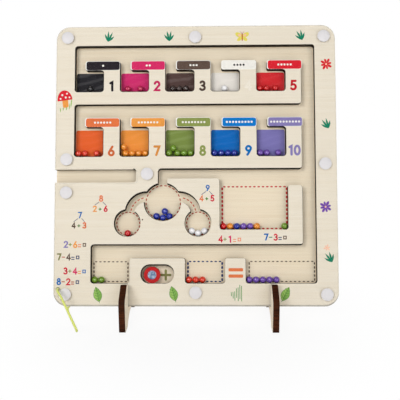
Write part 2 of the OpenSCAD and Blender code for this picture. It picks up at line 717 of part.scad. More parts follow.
back_panel();
maze_panel();
clear_cover();
rivet_sockets();
rivet_pins();
left_foot();
right_foot();
selector_disc();
selector_core();
pen_barrel();
pen_tip();
pen_magnet();
pen_tail_cap();
tether_knot();
tether_cord();
tether_coil();
tether_lead();
tether_tie();
black_ball();
pink_ball_left();
pink_ball_right();
brown_balls();
white_ball();
red_balls();
red_ball();
orange_balls();
orange_ball();
yellow_balls();
green_balls();
blue_balls();
purple_balls();
purple_ball();
bowl_blue_balls();
cup_red_ball();
cup_white_balls();
sum_red_ball();
sum_yellow_ball();
sum_blue_ball();
sum_purple_balls();
sum_last_yellow_ball();
sum_green_ball();
tray_green_balls();
tray_orange_balls();
tray_purple_balls();
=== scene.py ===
"""Looks of the magnetic ball maze: materials, prints, cord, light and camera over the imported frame."""
import math

import bpy
from mathutils import Matrix, Vector


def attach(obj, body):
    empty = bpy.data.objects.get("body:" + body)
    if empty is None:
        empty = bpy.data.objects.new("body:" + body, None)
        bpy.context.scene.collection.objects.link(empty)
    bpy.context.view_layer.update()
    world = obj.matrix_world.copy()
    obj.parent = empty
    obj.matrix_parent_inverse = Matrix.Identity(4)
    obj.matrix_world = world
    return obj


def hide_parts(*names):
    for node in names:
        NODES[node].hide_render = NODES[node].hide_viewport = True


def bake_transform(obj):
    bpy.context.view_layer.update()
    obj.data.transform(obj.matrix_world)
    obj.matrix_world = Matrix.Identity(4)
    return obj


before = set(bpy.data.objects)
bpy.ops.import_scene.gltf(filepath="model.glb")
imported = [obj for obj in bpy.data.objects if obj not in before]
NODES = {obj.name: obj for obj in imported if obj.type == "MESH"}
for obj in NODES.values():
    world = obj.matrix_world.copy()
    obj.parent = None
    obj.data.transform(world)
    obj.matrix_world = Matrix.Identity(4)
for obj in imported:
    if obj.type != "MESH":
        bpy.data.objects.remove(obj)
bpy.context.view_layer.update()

MM = 0.001
FULL_TURN = 2 * math.pi

# The board's place, in millimetres and degrees, as the solids have it
LEAN = math.radians(14)
EDGE_HEIGHT = 20.0
BOARD = 300.0
CORNER_R = 15.0
BACK_T = 3.0
FACE_Z = 11.0
BOARD_T = 13.0
TOE_REACH = 22.5
SIN, COS = math.sin(LEAN), math.cos(LEAN)
MID_DEPTH = (BOARD * SIN + BOARD_T * COS - TOE_REACH) / 2
UP = Vector((0, SIN, COS))
OUT = Vector((0, -COS, SIN))
# The lower left corner of the back panel's rear face
CORNER = Vector((-BOARD / 2, -MID_DEPTH, EDGE_HEIGHT)) - OUT * BOARD_T


def on_board(u, v, z):
    """A place u across, v up and z out from the back of the board, in millimetres, in the shared frame, in metres."""
    return (CORNER + Vector((u, 0, 0)) + UP * v + OUT * z) * MM


def by_edge(x, y, z):
    """A place from the board's left edge and lower front edge, in millimetres, in the shared frame, in metres."""
    return Vector((x - BOARD / 2, y - MID_DEPTH, z)) * MM


def turned(points, u, v, degrees):
    """Flat points turned about their origin, which is then moved to u and v."""
    c, s = math.cos(math.radians(degrees)), math.sin(math.radians(degrees))
    return [(u + x * c - y * s, v + x * s + y * c) for x, y in points]


def rgb(red, green, blue):
    """A colour of 0 to 255 parts as linear light."""
    parts = [part / 255 for part in (red, green, blue)]
    return tuple(p / 12.92 if p <= 0.04045 else ((p + 0.055) / 1.055) ** 2.4 for p in parts) + (1.0,)


def scaled(colour, factor):
    """A colour made lighter or darker, at most up to full light."""
    return tuple(min(1.0, part * factor) for part in colour[:3]) + (1.0,)


# Camera, at the photograph's angle
CAMERA_AT = by_edge(167.67, -596.63, 242.26)
CAMERA_LOOK = Vector((-0.02012, 0.98353, -0.17961))
CAMERA_UP = Vector((0.00294, 0.1797, 0.98372))
SENSOR_W, LENS, NEAREST = 36.0, 54.0, 0.01
camera = bpy.data.objects.new("camera", bpy.data.cameras.new("camera"))
camera.data.sensor_fit = "HORIZONTAL"
camera.data.sensor_width = SENSOR_W
camera.data.lens = LENS
camera.data.clip_start = NEAREST
camera_back = -CAMERA_LOOK.normalized()
camera_right = CAMERA_UP.cross(camera_back).normalized()
camera_turn = Matrix((camera_right, camera_back.cross(camera_right), camera_back)).transposed()
camera.matrix_world = Matrix.Translation(CAMERA_AT) @ camera_turn.to_4x4()
bpy.context.scene.collection.objects.link(camera)
bpy.context.scene.camera = camera

# Sockets of a Mix node for colours, whose names several sockets share
MIX_SHARE, MIX_A, MIX_B, MIX_RESULT = 0, 6, 7, 2


class Look:
    """A material whose nodes are added one by one round its Principled shader."""

    def __init__(self, name, **sockets):
        self.material = bpy.data.materials.new(name)
        self.material.use_nodes = True
        self.tree = self.material.node_tree
        self.shader = self.tree.nodes["Principled BSDF"]
        self.coords = self.add("TexCoord")
        self.set(**sockets)

    def set(self, **sockets):
        """Fills sockets of the Principled shader, named with _ in place of spaces."""
        for socket, value in sockets.items():
            self.put(self.shader.inputs[socket.replace("_", " ")], value)
        return self

    def put(self, socket, value):
        """Gives a socket a value, or a link to another node's output."""
        if isinstance(value, bpy.types.NodeSocket):
            self.tree.links.new(value, socket)
        else:
            socket.default_value = value

    def add(self, kind, sockets=None, **options):
        """A new node, with its sockets and options filled."""
        node = self.tree.nodes.new("ShaderNode" + kind)
        for option, value in options.items():
            setattr(node, option, value)
        for socket, value in (sockets or {}).items():
            self.put(node.inputs[socket], value)
        return node

    def math(self, operation, a, b=0.0):
        """The outcome of an operation on one or two numbers."""
        return self.add("Math", {0: a, 1: b}, operation=operation).outputs[0]

    def dot(self, vector, direction):
        """How far a vector reaches along a direction."""
        return self.add("VectorMath", {0: vector, 1: direction}, operation="DOT_PRODUCT").outputs["Value"]

    def between(self, value, low, high):
        """The value as 0 at low and 1 at high, and level beyond them."""
        return self.add("MapRange", {"Value": value, "From Min": low, "From Max": high}, clamp=True).outputs[0]

    def spread(self, value, low, high):
        """A value of 0 to 1 as one of low to high."""
        return self.add("MapRange", {"Value": value, "To Min": low, "To Max": high}).outputs[0]

    def mix(self, share, a, b):
        """The colour a, with a share of b."""
        sockets = {MIX_SHARE: share, MIX_A: a, MIX_B: b}
        return self.add("Mix", sockets, data_type="RGBA").outputs[MIX_RESULT]

    def tint(self, base, value, low, high, share, colour):
        """The base, with up to a share of another colour as the value goes from low to high."""
        return self.mix(self.math("MULTIPLY", self.between(value, low, high), share), base, colour)

    def stretched(self, scale, rotation=(0, 0, 0)):
        """The place on the piece, with a scale for each axis in turns per metre."""
        sockets = {"Vector": self.coords.outputs["Object"], "Rotation": rotation, "Scale": scale}
        return self.add("Mapping", sockets).outputs[0]

    def noise(self, scale, detail=4.0, roughness=0.55, distortion=0.0):
        """Noise over the piece, with a scale for each axis."""
        sockets = {"Vector": self.stretched(scale), "Scale": 1.0}
        sockets.update({"Detail": detail, "Roughness": roughness, "Distortion": distortion})
        return self.add("TexNoise", sockets).outputs["Fac"]

    def bump(self, height, strength, distance):
        """Fine relief on the surface."""
        node = self.add("Bump", {"Height": height, "Strength": strength, "Distance": distance})
        return self.set(Normal=node.outputs[0])


# Wood's grain and pores are long across the board and along the pen, and upright in the feet
GRAIN, PORES = (9, 420, 420), (60, 2600, 2600)
PEN_GRAIN, PEN_PORES = (12, 420, 420), (70, 2600, 2600)
FOOT_GRAIN, FOOT_PORES = (420, 420, 9), (2600, 2600, 60)
PORE_DEPTH, GRIT_DEPTH, BRAID_DEPTH = 0.0002, 0.0001, 0.0003


def wood_colour(look, pale, deep, grain, pores):
    """The colour of wood with long soft grain and short fine pores, and the pores by themselves."""
    broad = look.noise(grain, 5.0, 0.6, 0.4)
    fine = look.noise(pores, 2.0, 0.5)
    cloud = look.noise((14, 14, 14), 2.0, 0.5)
    colour = look.mix(look.between(broad, 0.35, 0.72), pale, deep)
    colour = look.tint(colour, fine, 0.56, 0.75, 0.35, scaled(deep, 0.82))
    return look.tint(colour, cloud, 0.4, 0.7, 0.35, scaled(pale, 0.95)), fine


def burnt_colour(look, streaks, dark, warm):
    """Laser-burnt wood: brown and near black in streaks across the sheet."""
    scorch = look.noise(streaks, 4.0, 0.65)
    patch = look.noise((45, 45, 45), 2.0, 0.5)
    colour = look.mix(look.between(scorch, 0.3, 0.7), dark, warm)
    return look.tint(colour, patch, 0.45, 0.7, 0.6, scaled(dark, 1.5))


def across_face(look, direction):
    """1 where the surface faces along a direction, either way, and 0 on its edges."""
    facing = look.math("ABSOLUTE", look.dot(look.coords.outputs["Normal"], tuple(direction)))
    return look.between(facing, 0.75, 0.8)


# How far under the board's outer edge its rim begins and is whole
RIM_BEGIN, RIM_WHOLE = 0.6, 0.3


def outer_rim(look):
    """1 on the board's outer edge, and 0 on the edges of its cut-outs."""
    reach = (BOARD / 2 - CORNER_R) * MM
    place = look.coords.outputs["Object"]
    across = look.math("ABSOLUTE", look.dot(place, (1, 0, 0)))
    middle = on_board(BOARD / 2, BOARD / 2, 0).dot(UP)
    upward = look.math("ABSOLUTE", look.math("SUBTRACT", look.dot(place, tuple(UP)), middle))
    a = look.math("MAXIMUM", look.math("SUBTRACT", across, reach), 0.0)
    b = look.math("MAXIMUM", look.math("SUBTRACT", upward, reach), 0.0)
    out = look.math("SQRT", look.math("ADD", look.math("MULTIPLY", a, a), look.math("MULTIPLY", b, b)))
    return look.between(out, (CORNER_R - RIM_BEGIN) * MM, (CORNER_R - RIM_WHOLE) * MM)


def height_over_back(look):
    """How far a place lies in front of the board's back, in metres."""
    return look.math("SUBTRACT", look.dot(look.coords.outputs["Object"], tuple(OUT)), on_board(0, 0, 0).dot(OUT))


VENEER = rgb(196, 168, 124)
# A tan low on the cut-outs' walls, and how far it fades into the burnt colour
LOW_WALL_TAN, LOW_WALL_SOFT = rgb(206, 186, 152), 0.3


def plies(look, colour, thickness):
    """The veneers of a sheet, seen on its edge."""
    wave = look.math("SINE", look.math("MULTIPLY", height_over_back(look), FULL_TURN / (thickness * MM)))
    return look.mix(look.between(wave, -0.2, 0.5), colour, VENEER)


def board_wood(name, pale, deep, ply, tan_height):
    """Plywood of the board: plies on its rim, and burnt cut-outs whose walls turn tan below a given height over the
    back.
    """
    look = Look(name, Roughness=0.62, Specular_IOR_Level=0.08)
    wood, pores = wood_colour(look, pale, deep, GRAIN, PORES)
    burnt = burnt_colour(look, (900, 60, 60), rgb(9, 5, 2), rgb(38, 21, 10))
    if tan_height:
        level = look.between(height_over_back(look), (tan_height - LOW_WALL_SOFT) * MM, (tan_height + LOW_WALL_SOFT) * MM)
        burnt = look.mix(level, LOW_WALL_TAN, burnt)
    edge = look.mix(outer_rim(look), burnt, plies(look, wood, ply))
    look.set(Base_Color=look.mix(across_face(look, OUT), edge, wood))
    return look.bump(pores, 0.12, PORE_DEPTH).material


def foot_wood():
    """Plywood of the feet, pale on its faces and burnt on its edges."""
    look = Look("foot_plywood", Roughness=0.66, Specular_IOR_Level=0.06)
    wood, pores = wood_colour(look, rgb(255, 246, 230), rgb(250, 234, 210), FOOT_GRAIN, FOOT_PORES)
    burnt = burnt_colour(look, (70, 900, 900), rgb(28, 13, 7), rgb(84, 41, 21))
    look.set(Base_Color=look.mix(across_face(look, (1, 0, 0)), burnt, wood))
    return look.bump(pores, 0.15, PORE_DEPTH).material


def pen_wood():
    """Varnished wood of the pen's barrel."""
    look = Look("pen_wood", Roughness=0.4, Coat_Weight=0.4, Coat_Roughness=0.15)
    wood, pores = wood_colour(look, rgb(222, 186, 132), rgb(186, 140, 84), PEN_GRAIN, PEN_PORES)
    return look.set(Base_Color=wood).bump(pores, 0.1, PORE_DEPTH).material


def plastic(name, colour, smoothest, roughest, coat=0.0):
    """Moulded plastic with a fine grit, a little uneven in colour and roughness."""
    look = Look(name, Coat_Weight=coat, Coat_Roughness=0.08, Specular_IOR_Level=0.25)
    cloud = look.noise((70, 70, 70), 3.0)
    grit = look.noise((2400, 2400, 2400), 2.0)
    look.set(Base_Color=look.mix(cloud, scaled(colour, 0.94), scaled(colour, 1.05)))
    look.set(Roughness=look.spread(cloud, smoothest, roughest))
    return look.bump(grit, 0.08, GRIT_DEPTH).material


def enamel(name, colour):
    """Gloss paint on a steel ball."""
    metal = 0.0 if name == "white" else 0.15
    look = Look("enamel_" + name, Metallic=metal, Specular_IOR_Level=0.3)
    look.set(Coat_Weight=0.9, Coat_Roughness=0.09, Coat_IOR=1.62)
    cloud = look.noise((330, 330, 330), 3.0)
    look.set(Base_Color=look.mix(look.between(cloud, 0.3, 0.7), scaled(colour, 0.86), scaled(colour, 1.1)))
    return look.set(Roughness=look.spread(cloud, 0.2, 0.34)).material


def steel():
    """Turned steel with fine rings, its blue-grey mottle a painted reflection of a blue sky."""
    look = Look("turned_steel", Metallic=1.0)
    rings = look.noise((5200, 300, 300), 3.0)
    cloud = look.noise((420, 420, 420), 3.0)
    # Painted reflection: a mottle of dark and pale blue-grey
    look.set(Base_Color=look.mix(look.between(cloud, 0.4, 0.62), rgb(84, 112, 150), rgb(184, 198, 214)))
    look.set(Roughness=look.spread(rings, 0.24, 0.42))
    return look.bump(rings, 0.1, GRIT_DEPTH).material


def ink(name, colour):
    """Flat ink on wood, a little uneven."""
    look = Look("ink_" + name, Roughness=0.6, Specular_IOR_Level=0.06)
    cloud = look.noise((260, 260, 260), 4.0, 0.6)
    fine = look.noise(PORES, 2.0)
    base = look.mix(look.between(cloud, 0.3, 0.7), scaled(colour, 0.92), scaled(colour, 1.05))
    look.set(Base_Color=look.tint(base, fine, 0.55, 0.8, 0.25, scaled(colour, 1.25)))
    return look.bump(fine, 0.08, GRIT_DEPTH).material


# How strongly the wood's figure shows through the paint of a pocket
FIGURED, FIGURED_ELSE = {"black": 1.25, "brown": 1.3, "green": 0.8}, 0.3


def stain(name, colour):
    """Paint in a pocket through which the wood's figure shows."""
    figured = FIGURED.get(name, FIGURED_ELSE)
    look = Look("stain_" + name, Roughness=0.55, Specular_IOR_Level=0.06)
    sockets = {"Vector": look.stretched((24, 44, 44), (0, 0.45, 0)), "Scale": 1.0}
    sockets.update({"Distortion": 5.0, "Detail": 3.0, "Detail Scale": 1.4})
    waves = look.add("TexWave", sockets, bands_direction="Z").outputs["Fac"]
    fine = look.noise(PORES, 2.0)
    vein = tuple((1 + 0.03 * figured) * part + 0.026 * figured for part in colour[:3]) + (1.0,)
    base = look.mix(look.between(waves, 0.5, 0.95), scaled(colour, 1 - 0.04 * figured), vein)
    look.set(Base_Color=look.tint(base, fine, 0.56, 0.8, 0.4, scaled(colour, 1.2)))
    return look.bump(fine, 0.1, GRIT_DEPTH).material


# Strands round the cord each way, and one turn of them in cord diameters
STRANDS, STRAND_TURN = 3, 2.2


def cord_look():
    """A braided cord: crossing strands along the map of its length and its girth."""
    look = Look("lime_braid", Roughness=0.72, Sheen_Weight=0.3)
    place = look.add("UVMap", uv_map="braid").outputs[0]
    phases = [look.dot(place, (FULL_TURN, lean * FULL_TURN * STRANDS, 0)) for lean in (1, -1)]
    weave = look.math("MAXIMUM", *[look.math("SINE", phase) for phase in phases])
    fuzz = look.noise((900, 900, 900), 3.0)
    base = look.mix(look.between(weave, -0.4, 0.9), rgb(207, 217, 88), rgb(228, 236, 122))
    look.set(Base_Color=look.mix(look.math("MULTIPLY", fuzz, 0.3), base, rgb(236, 242, 160)))
    return look.bump(weave, 0.5, BRAID_DEPTH).material


def clear_sheet(name, alpha, grazing, colour):
    """Clear plastic, more to be seen where the eye grazes it."""
    look = Look(name, Roughness=0.08, IOR=1.49)
    facing = look.add("LayerWeight", {"Blend": 0.3}).outputs["Facing"]
    look.set(Alpha=look.spread(facing, alpha, grazing))
    cloud = look.noise((30, 30, 30), 2.0)
    return look.set(Base_Color=look.mix(cloud, scaled(colour, 0.97), colour)).material


# The ten colours, as ink on the labels, as paint in the pockets and as enamel on the balls
INKS = {
    "black": rgb(33, 27, 34),
    "pink": rgb(213, 42, 100),
    "brown": rgb(94, 76, 67),
    "white": rgb(240, 237, 229),
    "red": rgb(218, 34, 48),
    "orange": rgb(225, 115, 65),
    "yellow": rgb(235, 156, 73),
    "green": rgb(138, 150, 80),
    "blue": rgb(12, 120, 200),
    "purple": rgb(134, 124, 178),
}
STAINS = {
    "black": rgb(30, 28, 34),
    "pink": rgb(213, 45, 111),
    "brown": rgb(88, 66, 62),
    "white": rgb(237, 231, 222),
    "red": rgb(217, 44, 50),
    "orange": rgb(234, 99, 41),
    "yellow": rgb(240, 149, 63),
    "green": rgb(126, 145, 72),
    "blue": rgb(13, 107, 190),
    "purple": rgb(126, 119, 180),
}
ENAMELS = {
    "black": rgb(15, 13, 17),
    "pink": rgb(192, 14, 78),
    "brown": rgb(52, 33, 29),
    "white": rgb(244, 242, 242),
    "red": rgb(210, 8, 14),
    "orange": rgb(228, 58, 28),
    "yellow": rgb(248, 150, 40),
    "green": rgb(116, 154, 38),
    "blue": rgb(32, 50, 160),
    "purple": rgb(116, 80, 176),
}
BALLS = {
    "black": ["black_ball"],
    "pink": ["pink_ball_left", "pink_ball_right"],
    "brown": ["brown_balls"],
    "white": ["white_ball", "cup_white_balls"],
    "red": ["red_balls", "red_ball", "cup_red_ball", "sum_red_ball"],
    "orange": ["orange_balls", "orange_ball", "tray_orange_balls"],
    "yellow": ["yellow_balls", "sum_yellow_ball", "sum_last_yellow_ball"],
    "green": ["green_balls", "sum_green_ball", "tray_green_balls"],
    "blue": ["blue_balls", "bowl_blue_balls", "sum_blue_ball"],
    "purple": ["purple_balls", "purple_ball", "sum_purple_balls", "tray_purple_balls"],
}


def dress(material, *nodes):
    """Gives CAD nodes one material."""
    for node in nodes:
        slots = NODES[node].data.materials
        slots.clear()
        slots.append(material)


dress(board_wood("maze_plywood", rgb(235, 226, 209), rgb(229, 218, 197), ply=2.6, tan_height=3.6), "maze_panel")
dress(board_wood("back_plywood", rgb(240, 226, 201), rgb(233, 216, 187), ply=1.5, tan_height=0), "back_panel")
dress(foot_wood(), "left_foot", "right_foot")
WHITE = plastic("white_plastic", rgb(224, 221, 222), 0.5814, 0.8721)
RED = plastic("red_plastic", rgb(190, 8, 13), 0.5034, 0.8389, coat=0.2)
CORD = cord_look()
dress(WHITE, "rivet_sockets", "rivet_pins")
dress(RED, "selector_disc", "pen_tip", "pen_tail_cap")
dress(steel(), "selector_core", "pen_magnet")
dress(pen_wood(), "pen_barrel")
for name, nodes in BALLS.items():
    dress(enamel(name, ENAMELS[name]), *nodes)


def piece(name, verts, faces, materials, indices=None, smooth=False):
    """A mesh object with its materials, linked to the scene."""
    mesh = bpy.data.meshes.new(name)
    mesh.from_pydata([tuple(v) for v in verts], [], faces)
    for material in materials:
        mesh.materials.append(material)
    if indices:
        mesh.polygons.foreach_set("material_index", indices)
    mesh.polygons.foreach_set("use_smooth", [smooth] * len(mesh.polygons))
    mesh.update()
    obj = bpy.data.objects.new(name, mesh)
    bpy.context.scene.collection.objects.link(obj)
    return obj


# Tether: the cord's route repeats the solids' own points
CORD_D, CORD_STEPS, SIDES = 2.5, 3, 10
TETHER_IN, TETHER_UP = 5.0, 18.5
TETHER_ROUTE = [
    (5.5, 0, 38.5), (7, -4, 38.5), (9.5, -7.5, 36.5), (12.5, -11, 33.5), (15.5, -14.5, 29.5), (18.5, -17.5, 25.5),
    (21.5, -20.5, 21), (24.5, -23.5, 16.5), (27, -25.5, 12.5), (29, -26.5, 8.5), (30, -25, 4.5), (29.5, -22, 2),
    (28, -17.5, 1.3), (26, -12, 1.3), (23.5, -6.5, 1.3), (21, -0.5, 1.3), (19, 5, 1.3), (16.5, 10.5, 1.3),
    (14.5, 16, 1.3), (12, 21.5, 1.3), (10, 27, 1.3), (8, 32.5, 1.3), (6, 38.5, 1.3), (4.5, 44.5, 1.3),
    (4.5, 50.5, 1.5), (5.5, 55, 1.8), (7, 58.5, 2.1),
]
LEAD_ROUTE = [(33, 81, 5.1), (38, 79.8, 5), (43.5, 78, 5)]
COIL_X, COIL_Y, COIL_Z = 23.0, 66.5, 2.15
COIL_R, COIL_PITCH, COIL_TURNS, COIL_STEPS = 15.0, 3.0, 3.25, 24
# Height from layer to layer, and the part of a turn in which the cord climbs it
COIL_LAYER, COIL_CLIMB = 2.95, 0.5
PEN_AT, PEN_Y, PEN_Z = 52.0, 77.0, 5.0


def coil_point(turn):
    """A place after so many turns: inward on the table, then up a layer and out again."""
    middle = COIL_TURNS / 2
    radius = COIL_R - COIL_PITCH * (middle - abs(turn - middle))
    climb = min(1.0, max(0.0, (turn - middle) / COIL_CLIMB + 0.5))
    angle = turn * FULL_TURN
    return COIL_X - radius * math.cos(angle), COIL_Y + radius * math.sin(angle), COIL_Z + climb * COIL_LAYER


def smooth_path(points, steps):
    """A curve through the points, with that many steps between neighbours."""
    ends = [points[0] * 2 - points[1]] + points + [points[-1] * 2 - points[-2]]
    path = []
    for a, b, c, d in zip(ends, ends[1:], ends[2:], ends[3:]):
        for k in range(steps):
            t = k / steps
            path.append(
                (b * 2 + (c - a) * t + (a * 2 - b * 5 + c * 4 - d) * t**2 + (b * 3 - a - c * 3 + d) * t**3) / 2
            )
    return path + [points[-1]]


def tube(name, path, radius, material):
    """A round tube along a path, with a map of its length and girth for the braid."""
    last = len(path) - 1
    ahead = [(path[min(i + 1, last)] - path[max(i - 1, 0)]).normalized() for i in range(last + 1)]
    side = ahead[0].orthogonal().normalized()
    verts, along, gone = [], [], 0.0
    for i, (place, way) in enumerate(zip(path, ahead)):
        side = (side - way * side.dot(way)).normalized()
        other = way.cross(side)
        gone += (place - path[i - 1]).length if i else 0.0
        along.append(gone / (STRAND_TURN * CORD_D * MM))
        for k in range(SIDES):
            angle = FULL_TURN * k / SIDES
            verts.append(place + (side * math.cos(angle) + other * math.sin(angle)) * radius)
    faces, maps = [], []
    for i in range(last):
        a, b = i * SIDES, (i + 1) * SIDES
        for k in range(SIDES):
            n = (k + 1) % SIDES
            faces.append((a + k, a + n, b + n, b + k))
            low, high = k / SIDES, (k + 1) / SIDES
            maps += [(along[i], low), (along[i], high), (along[i + 1], high), (along[i + 1], low)]
    faces += [tuple(range(SIDES))[::-1], tuple(last * SIDES + k for k in range(SIDES))]
    maps += [(0, 0)] * (2 * SIDES)
    obj = piece(name, verts, faces, [material], smooth=True)
    layer = obj.data.uv_layers.new(name="braid")
    for corner, place in zip(layer.data, maps):
        corner.uv = place
    return obj


coil = [by_edge(*coil_point(k / COIL_STEPS)) for k in range(int(COIL_TURNS * COIL_STEPS) + 1)]
straight = CORD_D * MM
route = [on_board(TETHER_IN, TETHER_UP, z) for z in (0, BOARD_T / 2, BOARD_T)]
route += [by_edge(*p) for p in TETHER_ROUTE]
route += [coil[0] - Vector((0, 2 * straight, 0)), coil[0] - Vector((0, straight, 0))] + coil
route += [coil[-1] + Vector((straight, 0, 0)), coil[-1] + Vector((2 * straight, 0, 0))]
route += [by_edge(*p) for p in LEAD_ROUTE]
route += [by_edge(PEN_AT - CORD_D, PEN_Y, PEN_Z), by_edge(PEN_AT, PEN_Y, PEN_Z)]
cord_path = smooth_path(route, CORD_STEPS)
cord = tube("tether_braid", cord_path, CORD_D / 2 * MM, CORD)
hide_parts("tether_cord", "tether_coil", "tether_lead")

# The tie round the coil: a band with rounded corners, made of rings of four places
TIE_T, TIE_W, TIE_R, TIE_GAP, TIE_STEPS = 0.6, 3.0, 1.0, 0.3, 6
tie_low = COIL_R - COIL_PITCH * COIL_TURNS / 2 - CORD_D / 2 - TIE_GAP
tie_high = COIL_R + CORD_D / 2 + TIE_GAP
tie_top = COIL_Z + COIL_LAYER + CORD_D / 2 + TIE_GAP
tie_corners = [(tie_high, tie_top, 0), (tie_low, tie_top, 90), (tie_low, TIE_T, 180), (tie_high, TIE_T, 270)]
tie_verts, tie_faces = [], []
for x, z, start in tie_corners:
    centre_x = x - math.copysign(TIE_R, math.cos(math.radians(start + 45)))
    centre_z = z - math.copysign(TIE_R, math.sin(math.radians(start + 45)))
    for k in range(TIE_STEPS + 1):
        angle = math.radians(start + 90 * k / TIE_STEPS)
        for y in (-TIE_W / 2, TIE_W / 2):
            for r in (TIE_R, TIE_R + TIE_T):
                place_x, place_z = COIL_X + centre_x + r * math.cos(angle), centre_z + r * math.sin(angle)
                tie_verts.append(by_edge(place_x, COIL_Y + y, place_z))
tie_rings = len(tie_verts) // 4
for i in range(tie_rings):
    a, b = 4 * i, 4 * ((i + 1) % tie_rings)
    tie_faces += [(a, a + 2, b + 2, b), (a + 1, b + 1, b + 3, a + 3)]
    tie_faces += [(a, b, b + 1, a + 1), (a + 2, a + 3, b + 3, b + 2)]
tie = piece("tether_band", tie_verts, tie_faces, [WHITE])
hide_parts("tether_tie")
for soft in (cord, tie):
    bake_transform(soft)

# The knot behind the board: an overhand knot drawn up tight
KNOT_STEPS, KNOT_SIZE, KNOT_R = 72, 0.46, 1.1
KNOT_Z, KNOT_SWING = -1.95, 0.85
knot_path = []
for k in range(KNOT_STEPS + 1):
    t = FULL_TURN * k / KNOT_STEPS
    x = (math.sin(t) + 2 * math.sin(2 * t)) * KNOT_SIZE
    y = (math.cos(t) - 2 * math.cos(2 * t)) * KNOT_SIZE
    knot_path.append(on_board(TETHER_IN + x, TETHER_UP + y, KNOT_Z - KNOT_SWING * math.sin(3 * t)))
knot = tube("tether_overhand", knot_path, KNOT_R * MM, CORD)
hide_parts("tether_knot")
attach(knot, "board")

# The clear cover: the solid's sheet, its rear a hair off the print below it
SHEET_GAP, SHEET_SLACK, SHEET_FACING = 0.12, 0.1, 0.8
cover = bpy.data.objects.new("cover_sheet", NODES["clear_cover"].data.copy())
bpy.context.scene.collection.objects.link(cover)
cover_rear = on_board(0, 0, FACE_Z).dot(OUT)
for vertex in cover.data.vertices:
    if abs(vertex.co.dot(OUT) - cover_rear) < SHEET_SLACK * MM:
        vertex.co += OUT * SHEET_GAP * MM
cover.data.materials.clear()
cover.data.materials.append(clear_sheet("clear_sheet", 0.002, 0.16, (0.3, 0.3, 0.28, 1.0)))
cover.data.materials.append(clear_sheet("clear_edge", 0.3, 0.5, (0.78, 0.82, 0.82, 1.0)))
for polygon in cover.data.polygons:
    polygon.material_index = 0 if abs(polygon.normal.dot(OUT)) > SHEET_FACING else 1
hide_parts("clear_cover")
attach(cover, "board")


# Prints: thin closed shapes on the maze panel's face and on the floor of its cut-outs
class Prints:
    """Shapes of ink on one plane of the board, gathered into one mesh with a material for each ink."""

    # Heights: the ink itself, one layer over another, and the steps that keep neighbours off one plane
    THICK, LAYER, LIFT, LIFTS = 0.03, 0.02, 0.004, 4
    # Angles of the places round a line's end, and the least cosine by which a bend widens the line
    END_ANGLES, MITRE = (80, 55, 30), 0.5

    def __init__(self, name, base):
        self.name, self.base = name, base
        self.verts, self.faces, self.indices, self.materials = [], [], [], []
        self.count = 0

    def slab(self, places, faces, material, layer):
        """Takes the faces of a flat shape and gives them thickness. The shape's rim runs along its loose edges."""
        if material not in self.materials:
            self.materials.append(material)
        first, n = len(self.verts), len(places)
        high = self.base + self.THICK + self.LAYER * layer + self.LIFT * (self.count % self.LIFTS)
        self.count += 1
        for z in (high, self.base):
            self.verts += [on_board(u, v, z) for u, v in places]
        edges = set()
        for corners in faces:
            self.faces.append(tuple(first + i for i in corners))
            self.faces.append(tuple(first + n + i for i in reversed(corners)))
            edges.update(zip(corners, corners[1:] + corners[:1]))
        rim = [(a, b) for a, b in edges if (b, a) not in edges]
        self.faces += [(first + b, first + a, first + n + a, first + n + b) for a, b in sorted(rim)]
        self.indices += [self.materials.index(material)] * (2 * len(faces) + len(rim))

    def fill(self, outline, material, layer=0):
        """A filled outline, which may run either way round."""
        area = sum(a[0] * b[1] - a[1] * b[0] for a, b in zip(outline, outline[1:] + outline[:1]))
        points = list(outline) if area > 0 else list(outline)[::-1]
        self.slab(points, [tuple(range(len(points)))], material, layer)

    def stroke(self, line, width, material, closed=False, layer=0):
        """A line of even width, with round ends unless it closes on itself."""
        points = [Vector(p) for p in line]
        count = len(points)
        rows = []
        for i, p in enumerate(points):
            before = points[i - 1] if i or closed else p * 2 - points[1]
            after = points[(i + 1) % count] if i < count - 1 or closed else p * 2 - points[i - 1]
            a, b = (p - before).normalized(), (after - p).normalized()
            way = (a + b).normalized()
            rows.append((p, way, width / 2 / max(self.MITRE, way.dot(a))))
        if not closed:
            ends = [math.radians(angle) for angle in self.END_ANGLES]
            p, way, _ = rows[0]
            head = [(p - way * width / 2 * math.sin(e), way, width / 2 * math.cos(e)) for e in ends]
            p, way, _ = rows[-1]
            tail = [(p + way * width / 2 * math.sin(e), way, width / 2 * math.cos(e)) for e in reversed(ends)]
            rows = head + rows + tail
        places = []
        for p, way, spread in rows:
            normal = Vector((-way.y, way.x))
            places += [tuple(p + normal * spread), tuple(p - normal * spread)]
        faces = []
        for i in range(len(rows) - (0 if closed else 1)):
            j = (i + 1) % len(rows)
            faces.append((2 * i, 2 * i + 1, 2 * j + 1, 2 * j))
        self.slab(places, faces, material, layer)

    def disc(self, u, v, radius, material, sides, squeeze=1.0, tilt=0.0, layer=0):
        """A disc, or an oval whose long axis is tilted by so many degrees."""
        angles = [FULL_TURN * k / sides for k in range(sides)]
        oval = [(radius * math.cos(a), radius * squeeze * math.sin(a)) for a in angles]
        self.fill(turned(oval, u, v, tilt), material, layer)

    def finish(self):
        """Makes the piece and fixes it to the board."""
        obj = piece(self.name, self.verts, self.faces, self.materials, self.indices)
        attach(obj, "board")


def arc(u, v, ru, rv, start, end, steps=14):
    """Points on an oval's arc, from one angle to another in degrees."""
    angles = [math.radians(start + (end - start) * k / steps) for k in range(steps + 1)]
    return [(u + ru * math.cos(a), v + rv * math.sin(a)) for a in angles]


def ring(u, v, ru, rv, steps=24):
    """Points all round an oval."""
    return arc(u, v, ru, rv, 0, 360 - 360 / steps, steps - 1)


BOX_STEPS = 6


def rounded_box(u0, v0, u1, v1, r):
    """The outline of a box with rounded corners."""
    centres = [(u1 - r, v1 - r), (u0 + r, v1 - r), (u0 + r, v0 + r), (u1 - r, v0 + r)]
    return [p for k, (u, v) in enumerate(centres) for p in arc(u, v, r, r, 90 * k, 90 * k + 90, BOX_STEPS)]


